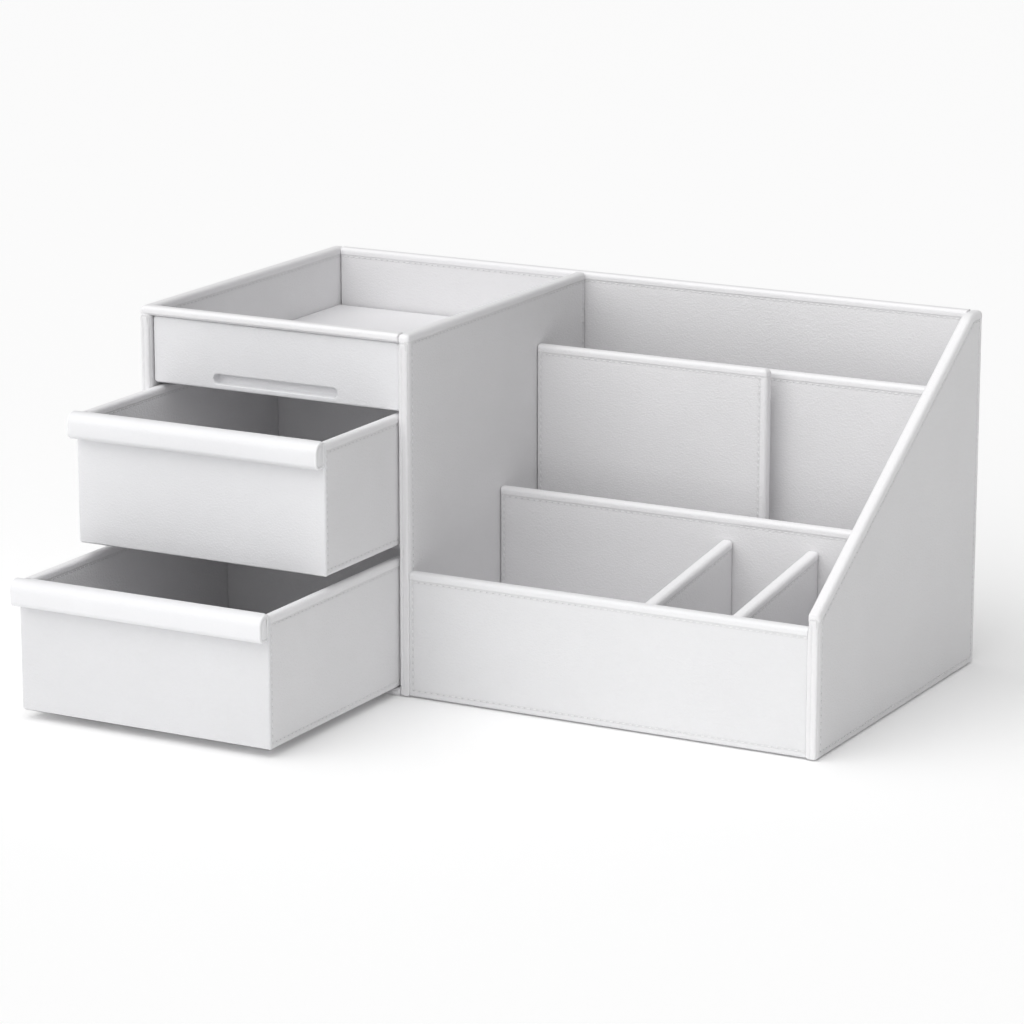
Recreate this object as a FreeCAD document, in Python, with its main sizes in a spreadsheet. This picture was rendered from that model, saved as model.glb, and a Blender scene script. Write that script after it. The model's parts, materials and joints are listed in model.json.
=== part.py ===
import FreeCAD, Part
import os
import re
import Sketcher

# Desk organizer made of leather-wrapped boards: a tower with a pull-out tray over two
# drawers on the left, and open compartments behind a low front wall on the right.
#
# Frame: millimetres, +Z up. The origin is on the resting plane, in the middle of the
# cabinet's footprint. -Y is the front, where the drawers come out; +X is to the right.
# The two drawers stand partly pulled out; the tray is closed.

DIMENSIONS = [
    ("total_width", 380, "outside width of the cabinet"),
    ("total_depth", 194, "outside depth of the cabinet, without the drawer lips"),
    ("total_height", 185, "height of the tower and of the back"),
    ("board", 6, "thickness of a wrapped board of the cabinet"),
    ("base_board", 4, "thickness of the two base boards"),
    ("rim_round", 2.7, "rounding of a wrapped board's free edges"),
    ("corner_round", 1.6, "rounding of the tray front's four corners"),
    ("tower_width", 157, "left outer face to the partition's right face"),
    ("front_wall_height", 65, "low wall in front of the compartments"),
    ("side_front_height", 70.5, "right side panel's height at the front"),
    ("slope_depth", 180.8, "how far back the right side panel's slope reaches the top"),
    ("step_front", 93.5, "front plane to the step divider's front face"),
    ("step_height", 88.7, "top of the step divider"),
    ("file_front", 133.4, "front plane to the file divider's front face"),
    ("file_height", 156, "top of the file divider"),
    ("file_end", 289.5, "left outer face to the file divider's right end"),
    ("rear_setback", 14, "file divider's front face to the rear divider's front face"),
    ("rear_height", 152.6, "top of the rear divider"),
    ("rear_lap", 12, "how far the rear divider reaches behind the file divider"),
    ("pen_right_1", 290, "left outer face to the first pen divider's right face"),
    ("pen_right_2", 337, "left outer face to the second pen divider's right face"),
    ("pen_front_height", 64.5, "pen divider's top at the front wall"),
    ("pen_back_height", 76.6, "pen divider's top at the step divider"),
    ("side_gap", 0.7, "gap between a drawer and each wall beside it"),
    ("drawer_board", 5, "thickness of a wrapped board of a drawer"),
    ("drawer_height", 66.2, "height of a drawer's boards"),
    ("drawer_length", 186, "front face to back face of a drawer"),
    ("drawer_floor", 4, "thickness of a drawer's bottom board"),
    ("floor_lift", 1, "drawer's lower edge to the underside of its bottom board"),
    ("drawer_round", 2.2, "rounding of a drawer board's top edges"),
    ("lower_drawer_z", 4.6, "underside of the lower drawer"),
    ("shelf_z", 72, "underside of the shelf between the drawers"),
    ("shelf_board", 5, "thickness of the shelf between the drawers"),
    ("shelf_setback", 12, "front plane to the front edge of both shelves"),
    ("middle_drawer_z", 77.6, "underside of the middle drawer"),
    ("lower_pull", 121, "how far the lower drawer stands out"),
    ("middle_pull", 68.5, "how far the middle drawer stands out"),
    ("lip_depth", 8.2, "how far the rolled lip stands in front of a drawer front"),
    ("lip_rise", 1.4, "lip's top above the drawer's boards"),
    ("lip_drop", 12, "lip's underside below the top of the drawer's boards"),
    ("lip_top_round", 6, "rounding of the lip's upper front edge"),
    ("lip_under_round", 3.2, "rounding of the lip's lower front edge"),
    ("lip_under_depth", 6.5, "how far the lip's underside reaches forward"),
    ("lip_under_rise", 2, "height of the slanted edge below the lip's face"),
    ("top_shelf_z", 145.4, "underside of the shelf that carries the tray"),
    ("top_shelf_board", 3, "thickness of the shelf that carries the tray"),
    ("tray_floor_z", 149, "underside of the tray's floor board"),
    ("tray_floor_board", 4.8, "thickness of the tray's floor board"),
    ("tray_front_z", 145.7, "lower edge of the tray front"),
    ("tray_front_height", 34.3, "height of the tray front"),
    ("tray_setback", 2.5, "front plane to the tray front's face"),
    ("tray_gap", 0.5, "gap between the tray and each wall beside it"),
    ("tray_back_gap", 2, "gap between the tray's floor board and the back panel"),
    ("rail_height", 4.5, "height of the rail above the tray front"),
    ("rail_round", 2, "rounding of that rail's edges"),
    ("slot_length", 72.6, "length of the finger slot in the tray front"),
    ("slot_height", 5, "height of the finger slot"),
    ("slot_depth", 4.5, "depth of the finger slot"),
    ("slot_rise", 2.8, "tray front's lower edge to the slot"),
    ("slot_round", 2.4, "rounding of the slot's ends"),
]

# The plane that each kind of outline is drawn on, and whether its pad is turned round so
# that the board grows towards +X, +Y or +Z.
PLANES = {"XY": ("XY_Plane", False), "YZ": ("YZ_Plane", False), "XZ": ("XZ_Plane", True)}
TOLERANCE = 1e-5        # millimetres, for places that should be the same
CUT_TOLERANCE = 1       # cubic millimetres, for the volume that a cut removes
ROUGH_SIZE = 20         # millimetres, of an outline before its formulas pull it into place

doc = FreeCAD.newDocument("desk_organizer")
sheet = doc.addObject("Spreadsheet::Sheet", "Dims")
for row, (alias, value, meaning) in enumerate(DIMENSIONS, start=1):
    sheet.set("A%d" % row, alias)
    sheet.set("B%d" % row, str(value))
    sheet.set("C%d" % row, meaning)
    sheet.setAlias("B%d" % row, alias)
doc.recompute()

NAMES = {alias for alias, _, _ in DIMENSIONS}
parts = []


def formula(text):
    """Turn dimension names in a formula into references to the sheet."""
    return re.sub(r"[a-z_][a-z_0-9]*", lambda word: "Dims." + word[0] if word[0] in NAMES else word[0], text)


def bind(thing, place, text):
    """Bind one property or constraint of a document object to a formula."""
    thing.setExpression(place, formula(text))


def new_sketch(body, plane):
    """An empty sketch on one of the body's own origin planes."""
    sketch = body.newObject("Sketcher::SketchObject", body.Label + "_outline")
    role = PLANES[plane][0]
    origin_plane = next(item for item in body.Origin.OriginFeatures if item.Role == role)
    sketch.AttachmentSupport = [(origin_plane, "")]
    sketch.MapMode = "FlatFace"
    return sketch


def draw_outline(sketch, corners):
    """Closed straight-sided outline; every corner is held by two formulas."""
    count = len(corners)
    rough = [FreeCAD.Vector(ROUGH_SIZE * (i in (1, 2)) + i, ROUGH_SIZE * (i in (2, 3)) + i, 0)
             for i in range(count)]
    for i in range(count):
        sketch.addGeometry(Part.LineSegment(rough[i], rough[(i + 1) % count]), False)
    for i in range(count):
        sketch.addConstraint(Sketcher.Constraint("Coincident", i, 2, (i + 1) % count, 1))
    for i, corner in enumerate(corners):
        for kind, text in zip(("DistanceX", "DistanceY"), corner):
            rule = Sketcher.Constraint(kind, -1, 1, i, 1, rough[i].x if kind == "DistanceX" else rough[i].y)
            index = sketch.addConstraint(rule)
            sketch.renameConstraint(index, "%s_%d" % (kind, i))
            bind(sketch, "Constraints.%s_%d" % (kind, i), text)


def rectangle(width, height):
    """Corners of a rectangle that starts at the sketch's origin."""
    return [("0", "0"), (width, "0"), (width, height), ("0", height)]


def box_sides(shape, edge):
    """Names of the sides of the shape's box that an edge lies in."""
    box = shape.BoundBox
    ends = [vertex.Point for vertex in edge.Vertexes]
    planes = {
        "left": ("x", box.XMin), "right": ("x", box.XMax),
        "front": ("y", box.YMin), "back": ("y", box.YMax),
        "bottom": ("z", box.ZMin), "top": ("z", box.ZMax),
    }
    return {side for side, (axis, level) in planes.items()
            if all(abs(getattr(point, axis) - level) < TOLERANCE for point in ends)}


def round_edges(body, feature, radius, wanted):
    """Fillet those edges of a feature that the wanted() test picks."""
    picked = ["Edge%d" % number for number, edge in enumerate(feature.Shape.Edges, start=1)
              if wanted(box_sides(feature.Shape, edge), edge)]
    if not picked:
        raise RuntimeError("nothing to round on " + body.Label)
    fillet = body.newObject("PartDesign::Fillet", body.Label + "_rounding")
    fillet.Base = (feature, picked)
    bind(fillet, "Radius", radius)
    doc.recompute()
    return fillet


def board(name, plane, corners, thickness, place, square=None, radius="rim_round"):
    """One wrapped board: an outline, its thickness, and rounded free edges.

    square names the sides that butt against other boards and keep their square edges;
    None leaves the whole board square.
    """
    body = doc.addObject("PartDesign::Body", name)
    body.Label = name
    sketch = new_sketch(body, plane)
    draw_outline(sketch, corners)
    pad = body.newObject("PartDesign::Pad", name + "_board")
    pad.Profile = sketch
    pad.Reversed = PLANES[plane][1]
    bind(pad, "Length", thickness)
    for axis, text in zip("xyz", place):
        bind(body, "Placement.Base." + axis, text)
    doc.recompute()
    if square is not None:
        faces = {"XY": {"bottom", "top"}, "YZ": {"left", "right"}, "XZ": {"front", "back"}}[plane]
        kept = set(square)
        round_edges(body, pad, radius, lambda sides, edge: not sides & kept and not faces <= sides)
    parts.append(body)
    return body


# Places that many boards share, as formulas.
LEFT = "-total_width / 2"
FRONT = "-total_depth / 2"
TOWER_LEFT = LEFT + " + board"
PARTITION_LEFT = LEFT + " + tower_width - board"
ROOM_LEFT = LEFT + " + tower_width"
RIGHT_INSIDE = "total_width / 2 - board"
BACK_INSIDE = "total_depth / 2 - board"
TOWER_INNER = "tower_width - 2 * board"
ROOM_INNER = "total_width - tower_width - board"


def make_shell():
    """The two sides, the partition, the back and the low front wall."""
    board("left_side_panel", "YZ", rectangle("total_depth", "total_height"), "board",
          (LEFT, FRONT, "0"), square=["bottom"])
    slope = [("0", "0"), ("total_depth", "0"), ("total_depth", "total_height"),
             ("slope_depth", "total_height"), ("0", "side_front_height")]
    board("right_side_panel", "YZ", slope, "board", (RIGHT_INSIDE, FRONT, "0"), square=["bottom"])
    board("partition_panel", "YZ", rectangle("total_depth - board", "total_height"), "board",
          (PARTITION_LEFT, FRONT, "0"), square=["bottom", "back"])
    board("back_panel", "XZ", rectangle("total_width - 2 * board", "total_height"), "board",
          (TOWER_LEFT, BACK_INSIDE, "0"), square=["bottom", "left", "right"])
    board("front_wall", "XZ", rectangle(ROOM_INNER, "front_wall_height"), "board",
          (ROOM_LEFT, FRONT, "0"), square=["bottom", "left", "right"])


def make_floors():
    """The two base boards and the two shelves of the tower."""
    tower_floor = rectangle(TOWER_INNER, "total_depth - board")
    board("tower_base_panel", "XY", tower_floor, "base_board", (TOWER_LEFT, FRONT, "0"))
    room_floor = rectangle(ROOM_INNER, "total_depth - 2 * board")
    board("compartment_base_panel", "XY", room_floor, "base_board", (ROOM_LEFT, FRONT + " + board", "0"))
    shelf = rectangle(TOWER_INNER, "total_depth - board - shelf_setback")
    shelf_front = FRONT + " + shelf_setback"
    board("drawer_shelf", "XY", shelf, "shelf_board", (TOWER_LEFT, shelf_front, "shelf_z"))
    board("tray_shelf", "XY", shelf, "top_shelf_board", (TOWER_LEFT, shelf_front, "top_shelf_z"))
    board("top_front_rail", "XZ", rectangle(TOWER_INNER, "rail_height"), "board",
          (TOWER_LEFT, FRONT, "total_height - rail_height"), square=["left", "right"],
          radius="rail_round")


def make_dividers():
    """Boards that part the open compartments."""
    board("step_divider", "XZ", rectangle(ROOM_INNER, "step_height - base_board"), "board",
          (ROOM_LEFT, FRONT + " + step_front", "base_board"), square=["bottom", "left", "right"])
    board("file_divider", "XZ", rectangle("file_end - tower_width", "file_height - base_board"), "board",
          (ROOM_LEFT, FRONT + " + file_front", "base_board"), square=["bottom", "left"])
    rear_left = LEFT + " + file_end - rear_lap"
    rear_front = FRONT + " + file_front + rear_setback"
    board("rear_divider", "XZ",
          rectangle("total_width - board - file_end + rear_lap", "rear_height - base_board"), "board",
          (rear_left, rear_front, "base_board"), square=["bottom", "right"])
    board("lap_batten", "XZ",
          rectangle("rear_lap - board", "rear_height - base_board - 2 * board"), "rear_setback - board",
          (rear_left + " + board / 2", FRONT + " + file_front + board", "base_board"))
    pen_depth = "step_front - board"
    pen_outline = [("0", "0"), (pen_depth, "0"), (pen_depth, "pen_back_height - base_board"),
                   ("0", "pen_front_height - base_board")]
    for name, right_face in (("pen_divider_left", "pen_right_1"), ("pen_divider_right", "pen_right_2")):
        board(name, "YZ", pen_outline, "board",
              (LEFT + " + " + right_face + " - board", FRONT + " + board", "base_board"),
              square=["bottom", "front", "back"])


def make_lip(name, pull, drawer_z):
    """Rolled lip along the top of a drawer front, which is also its handle."""
    top = "lip_rise + lip_drop"
    outline = [("0", "0"), ("lip_under_depth", "0"), ("lip_depth", "lip_under_rise"),
               ("lip_depth", top), ("0", top)]
    body = board(name, "YZ", outline, "tower_width - 2 * board - 2 * side_gap",
                 (TOWER_LEFT + " + side_gap", FRONT + " - lip_depth - " + pull,
                  drawer_z + " + drawer_height - lip_drop"))
    roll = round_edges(body, body.Tip, "lip_top_round", lambda sides, edge: sides == {"front", "top"})
    round_edges(body, roll, "lip_under_round", lambda sides, edge: sides == {"front", "bottom"})


def make_drawer(prefix, pull, drawer_z):
    """Five boards and a lip; the front corners are mitred."""
    width = "(tower_width - 2 * board - 2 * side_gap)"
    left = TOWER_LEFT + " + side_gap"
    front = FRONT + " - " + pull
    thick = "drawer_board"
    board(prefix + "_front", "XY",
          [("0", "0"), (width, "0"), (width + " - drawer_board", thick), (thick, thick)],
          "drawer_height", (left, front, drawer_z))
    left_side = board(prefix + "_left_side", "XY",
                      [("0", "0"), (thick, thick), (thick, "drawer_length"), ("0", "drawer_length")],
                      "drawer_height", (left, front, drawer_z))
    right_side = board(prefix + "_right_side", "XY",
                       [("0", thick), (thick, "0"), (thick, "drawer_length"), ("0", "drawer_length")],
                       "drawer_height", (left + " + " + width + " - drawer_board", front, drawer_z))
    for side in (left_side, right_side):
        round_edges(side, side.Tip, "drawer_round",
                    lambda sides, edge: "top" in sides and sides & {"left", "right"})
    inside = width + " - 2 * drawer_board"
    board(prefix + "_back", "XZ", rectangle(inside, "drawer_height"), thick,
          (left + " + drawer_board", front + " + drawer_length - drawer_board", drawer_z),
          square=["bottom", "left", "right"], radius="drawer_round")
    board(prefix + "_bottom", "XY", rectangle(inside, "drawer_length - 2 * drawer_board"), "drawer_floor",
          (left + " + drawer_board", front + " + drawer_board", drawer_z + " + floor_lift"))
    make_lip(prefix + "_lip", pull, drawer_z)


def make_tray():
    """Pull-out tray: a floor board that slides between the tower's walls, and its front."""
    width = "tower_width - 2 * board - 2 * tray_gap"
    left = TOWER_LEFT + " + tray_gap"
    front = FRONT + " + tray_setback"
    board("tray_floor", "XY", rectangle(width, "total_depth - tray_setback - 2 * board - tray_back_gap"),
          "tray_floor_board", (left, front + " + board", "tray_floor_z"))
    face = board("tray_front", "XZ", rectangle(width, "tray_front_height"), "board",
                 (left, front, "tray_front_z"))
    rounded = round_edges(face, face.Tip, "corner_round",
                          lambda sides, edge: len(sides) == 2 and not sides & {"front", "back"})
    slot = new_sketch(face, "XZ")
    start = "(%s - slot_length) / 2" % width
    end = "(%s + slot_length) / 2" % width
    low = "slot_rise"
    high = "slot_rise + slot_height"
    draw_outline(slot, [(start, low), (end, low), (end, high), (start, high)])
    pocket = face.newObject("PartDesign::Pocket", "tray_front_slot")
    pocket.Profile = slot
    bind(pocket, "Length", "slot_depth")
    doc.recompute()
    removed = rounded.Shape.Volume - pocket.Shape.Volume
    if abs(removed - sheet.slot_length * sheet.slot_height * sheet.slot_depth) > CUT_TOLERANCE:
        raise RuntimeError("the finger slot isn't cut")
    round_edges(face, pocket, "slot_round", lambda sides, edge: not sides and is_slot_corner(edge))


def is_slot_corner(edge):
    """True for an edge of the slot that runs from the front face inwards."""
    run = edge.Vertexes[-1].Point - edge.Vertexes[0].Point
    return abs(abs(run.y) - sheet.slot_depth) < TOLERANCE


make_shell()
make_floors()
make_dividers()
make_drawer("lower_drawer", "lower_pull", "lower_drawer_z")
make_drawer("middle_drawer", "middle_pull", "middle_drawer_z")
make_tray()
doc.recompute()

for item in doc.Objects:
    if "Invalid" in item.State or "Error" in item.State:
        raise RuntimeError("%s failed: %s" % (item.Label, item.State))
for body in parts:
    if body.Shape.isNull() or not body.Shape.isValid() or len(body.Shape.Solids) != 1:
        raise RuntimeError(body.Label + " is not one valid solid")

os.makedirs("parts", exist_ok=True)
for body in parts:
    body.Shape.exportStep("parts/%s.step" % body.Label)
print("%d boards written" % len(parts))
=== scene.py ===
import json
import math

import bmesh
import bpy
import numpy as np
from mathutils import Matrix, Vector, noise


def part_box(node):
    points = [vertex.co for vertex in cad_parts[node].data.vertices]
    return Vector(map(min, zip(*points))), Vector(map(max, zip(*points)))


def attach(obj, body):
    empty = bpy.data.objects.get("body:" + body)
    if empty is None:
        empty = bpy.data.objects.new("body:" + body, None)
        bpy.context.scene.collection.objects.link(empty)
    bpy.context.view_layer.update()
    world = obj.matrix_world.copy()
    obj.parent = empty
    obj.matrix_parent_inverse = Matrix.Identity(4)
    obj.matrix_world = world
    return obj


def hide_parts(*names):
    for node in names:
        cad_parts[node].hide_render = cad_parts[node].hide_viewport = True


MM = 0.001

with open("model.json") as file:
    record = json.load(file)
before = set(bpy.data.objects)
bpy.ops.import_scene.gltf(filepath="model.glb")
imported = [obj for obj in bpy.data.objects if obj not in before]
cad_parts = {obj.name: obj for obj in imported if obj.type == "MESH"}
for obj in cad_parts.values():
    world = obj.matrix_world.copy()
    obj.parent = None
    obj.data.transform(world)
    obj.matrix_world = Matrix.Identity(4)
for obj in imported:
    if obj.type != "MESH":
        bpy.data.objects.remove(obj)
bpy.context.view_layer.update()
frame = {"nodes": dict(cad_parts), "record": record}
record = frame["record"]
BODY_OF = {node: body for body, nodes in record["behaviour"]["bodies"].items() for node in nodes}

# ---- wrapped board sizes

SKIN_ROUND = 0.5 * MM        # soft edge where a wrapped board butts against another
RIM_ROUND = 1.9 * MM         # rounding of a free top rim
STRIP_ROUND = 1.7 * MM       # rounding of a free upright edge
FOOT_ROUND = 1.5 * MM        # rounding of a board's lower edge
OUTLINE_ROUND = 2.6 * MM     # rounding of a board's free corners, seen from its face
CORNER_ROUND = 1.3 * MM      # where the skin turns from a drawer's front to its sides
JOINT_GAP = 0.65 * MM        # fine gap where the end of a board meets the wall beside it
BACK_JOINT_GAP = 1.04 * MM   # the same where the partition meets the back
FOOT_LIFT = 0.8 * MM         # the upright boards end this much above the ground

RIM_BAND = 3.3 * MM          # height of the thicker band that caps a free top rim
BAND_PROUD = 0.2 * MM        # how far that band stands out from the face
BAND_STEP = 0.55 * MM        # over which the band runs out
BAND_CREASE = 0.3 * MM       # width of the crease under the band
WADDING = 0.12 * MM          # how far the skin swells between its sides
SWELL_WIDTH = 9 * MM         # over which it swells
WAVE = 0.06 * MM             # slow unevenness of the skin
WAVE_SCALE = 38              # waves of it per metre

TOP_SEAM = 4.7 * MM          # free top rim to the stitch line under it
STRIP_SEAM = 4.2 * MM        # free upright edge to the stitch line beside it
FOOT_SEAM = 3.3 * MM         # lower edge to the stitch line over it
BUTT_SEAM = 1.8 * MM         # edge that butts against a board to the stitch line beside it
SEAM_STOP = 1.2 * MM         # a stitch line stops this far from a side that is not sewn
GROOVE_DEPTH = 0.10 * MM
GROOVE_WIDTH = 0.6 * MM
GROOVE_END = 0.8 * MM        # over which a groove runs out
STITCH_PITCH = 3.5 * MM
STITCH_LENGTH = 2.45 * MM
THREAD_WIDTH = 0.62 * MM
THREAD_HEIGHT = 0.5 * MM
HOLE_LENGTH = 0.62 * MM      # needle hole between two stitches, along the seam
HOLE_WIDTH = 0.44 * MM
HOLE_HEIGHT = 0.3 * MM

POINT_PITCH = 9 * MM         # rows of points on a plain face
POINT_MERGE = 0.035 * MM     # rows of points closer than this are one row

AXES = {"x": (1, 2, 0), "y": (0, 2, 1), "z": (0, 1, 2)}
SIDE_NAMES = {"x": ("front", "back", "bottom", "top"), "y": ("left", "right", "bottom", "top"),
              "z": ("left", "right", "front", "back")}


# ---- small helpers

def smooth(value):
    """Soft step from 0 to 1."""
    value = min(1.0, max(0.0, value))
    return value * value * (3 - 2 * value)


def new_object(name, vertices, faces, attributes=None):
    """A mesh object at the origin with merged doubles, outward faces and smooth shading."""
    mesh = bpy.data.meshes.new(name)
    mesh.from_pydata([tuple(v) for v in vertices], [], faces)
    for key, values in (attributes or {}).items():
        layer = mesh.attributes.new(key, "FLOAT", "POINT")
        layer.data.foreach_set("value", np.array(values, np.float32))
    piece = bpy.data.objects.new(name, mesh)
    bpy.context.scene.collection.objects.link(piece)
    close_and_turn_out(mesh)
    return piece


def close_and_turn_out(mesh):
    """Merge doubles, drop empty faces and point every face outwards."""
    work = bmesh.new()
    work.from_mesh(mesh)
    bmesh.ops.remove_doubles(work, verts=work.verts, dist=0.004 * MM)
    bmesh.ops.dissolve_degenerate(work, edges=work.edges, dist=0.002 * MM)
    bmesh.ops.recalc_face_normals(work, faces=work.faces)
    for face in work.faces:
        face.smooth = True
    work.to_mesh(mesh)
    work.free()


def add(tree, kind, values=None, **settings):
    """A new node in a tree, with some of its settings and input values set."""
    node = tree.nodes.new(kind)
    for key, value in settings.items():
        setattr(node, key, value)
    for key, value in (values or {}).items():
        node.inputs[key].default_value = value
    return node


def two_sheets(columns, rows):
    """Faces of two equal grids of points, one after the other, joined round their rims."""
    count = columns * rows
    faces = []
    for base in (0, count):
        for i in range(columns - 1):
            for j in range(rows - 1):
                a = base + i * rows + j
                faces.append((a, a + rows, a + rows + 1, a + 1))
    rim = [i * rows for i in range(columns)]
    rim += [(columns - 1) * rows + j for j in range(1, rows)]
    rim += [i * rows + rows - 1 for i in range(columns - 2, -1, -1)]
    rim += list(range(rows - 2, 0, -1))
    faces += [(a, b, b + count, a + count) for a, b in zip(rim, rim[1:] + rim[:1])]
    return faces


def arc_angles(*degrees):
    """Angles in radians."""
    return [math.radians(a) for a in degrees]


def stand_for(piece, node, material):
    """Give a finished piece its material and its body, and hide the CAD node that it stands for."""
    piece.data.materials.clear()
    piece.data.materials.append(material)
    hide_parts(node)
    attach(piece, BODY_OF[node])
    return piece


# ---- the board maker

class Outline:
    """Outline of a board in its own plane: a box whose top may slope up to a level part."""

    def __init__(self, node, thin, top_front=None, slope_end=None, grow=None):
        low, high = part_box(node)
        low, high = low.copy(), high.copy()
        if grow:
            low, high = low - Vector(grow[0]), high + Vector(grow[1])
        self.u_axis, self.v_axis, self.w_axis = AXES[thin]
        self.u0, self.u1 = low[self.u_axis], high[self.u_axis]
        self.v0, self.v1 = low[self.v_axis], high[self.v_axis]
        self.w_mid = (low[self.w_axis] + high[self.w_axis]) / 2
        self.half = (high[self.w_axis] - low[self.w_axis]) / 2
        self.v_front = self.v1 if top_front is None else top_front
        self.u_kink = self.u1 if slope_end is None else slope_end
        rise, run = self.v1 - self.v_front, self.u_kink - self.u0
        self.slope_cos = run / math.hypot(rise, run)
        self.slope_sin = rise / math.hypot(rise, run)

    def top(self, u):
        """Height of the outline's top at u."""
        if u >= self.u_kink:
            return self.v1
        return self.v_front + (self.v1 - self.v_front) * (u - self.u0) / (self.u_kink - self.u0)

    def distances(self, u, v):
        """Distance from a point of the face to each of its four sides."""
        to_slope = (self.top_line(u) - v) * self.slope_cos
        return (u - self.u0, self.u1 - u, v - self.v0, min(to_slope, self.v1 - v))

    def top_line(self, u):
        """Height of the slope's line, carried on past its upper end."""
        return self.v_front + (u - self.u0) * self.slope_sin / self.slope_cos

    def place(self, u, v, w):
        """Point in the row frame."""
        point = [0.0, 0.0, 0.0]
        point[self.u_axis], point[self.v_axis], point[self.w_axis] = u, v, self.w_mid + w
        return point


def edge_round(side, is_free, half, flush):
    """Rounding between a board's face and one of its sides."""
    if flush and side in ("left", "right"):
        return SKIN_ROUND / 2
    if side == "bottom":
        return min(half, FOOT_ROUND)
    if not is_free:
        return SKIN_ROUND
    return min(half, RIM_ROUND if side == "top" else STRIP_ROUND)


def rim_steps(radius, seam, banded):
    """Distances from a side at which the board's face has a row of points."""
    steps = [radius * (1 - math.cos(a)) for a in arc_angles(0, 14, 28, 42, 56, 70, 82, 90)]
    if banded:
        steps += [RIM_BAND + BAND_STEP * k for k in (-0.2, 0.1, 0.35, 0.65, 0.9, 1.2)]
    if seam:
        steps += [seam + GROOVE_WIDTH * k for k in (-1.6, -0.8, -0.4, 0, 0.4, 0.8, 1.6)]
    start = steps[-1]
    steps += [start + 1.6 * MM, start + 4 * MM]
    kept = []
    for step in sorted(steps):
        if not kept or step - kept[-1] > POINT_MERGE:
            kept.append(step)
    return kept


def spread(length, low_steps, high_steps):
    """Rows of points between two sides, and how far the close rows reach in from each.

    A row is a distance from the low side or the high side, or a share of what is left between.
    """
    almost_half = length * 0.45
    low = [step for step in low_steps if step < almost_half]
    high = [step for step in high_steps if step < almost_half]
    middle = length - low[-1] - high[-1]
    count = max(1, round(middle / POINT_PITCH))
    rows = [("low", step) for step in low]
    rows += [("share", i / count) for i in range(1, count)]
    rows += [("high", step) for step in reversed(high)]
    return rows, low[-1], high[-1]


def row_value(row, low_end, high_end, start, end):
    """Coordinate of a row between start and end."""
    kind, value = row
    if kind == "low":
        return start + value
    if kind == "high":
        return end - value
    return start + low_end + (end - high_end - start - low_end) * value


def profile(distance, radius, half):
    """Half thickness of the wrapped board near one of its sides."""
    share = min(1.0, max(0.0, distance / radius))
    return half - radius + radius * math.sqrt(max(0.0, 1 - (1 - share) ** 2))


def round_corner(outline, u, v, free):
    """Pull a point near a free corner onto the corner's rounding.

    Gives the point and its distance from the rounding, or None away from the corners.
    """
    radius = min(OUTLINE_ROUND, (outline.u1 - outline.u0) / 3)
    edges = outline.distances(u, v)
    for side, other, sign_u, sign_v in ((0, 3, -1, 1), (1, 3, 1, 1), (0, 2, -1, -1), (1, 2, 1, -1)):
        sloped = (side, other) == (0, 3) and outline.slope_sin > 0
        if sloped or not (free[side] and free[other]):
            continue
        if edges[side] < radius and edges[other] < radius:
            a, b = 1 - edges[side] / radius, 1 - edges[other] / radius
            length = math.hypot(a, b)
            if length > 1e-9:
                scale = max(a, b) / length
                a, b = a * scale, b * scale
                in_u, in_v = radius * (1 - a), radius * (1 - b)
                u = outline.u0 + in_u if sign_u < 0 else outline.u1 - in_u
                v = outline.v1 - in_v if sign_v > 0 else outline.v0 + in_v
            return u, v, radius * (1 - math.hypot(a, b))
    return u, v, None


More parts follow.
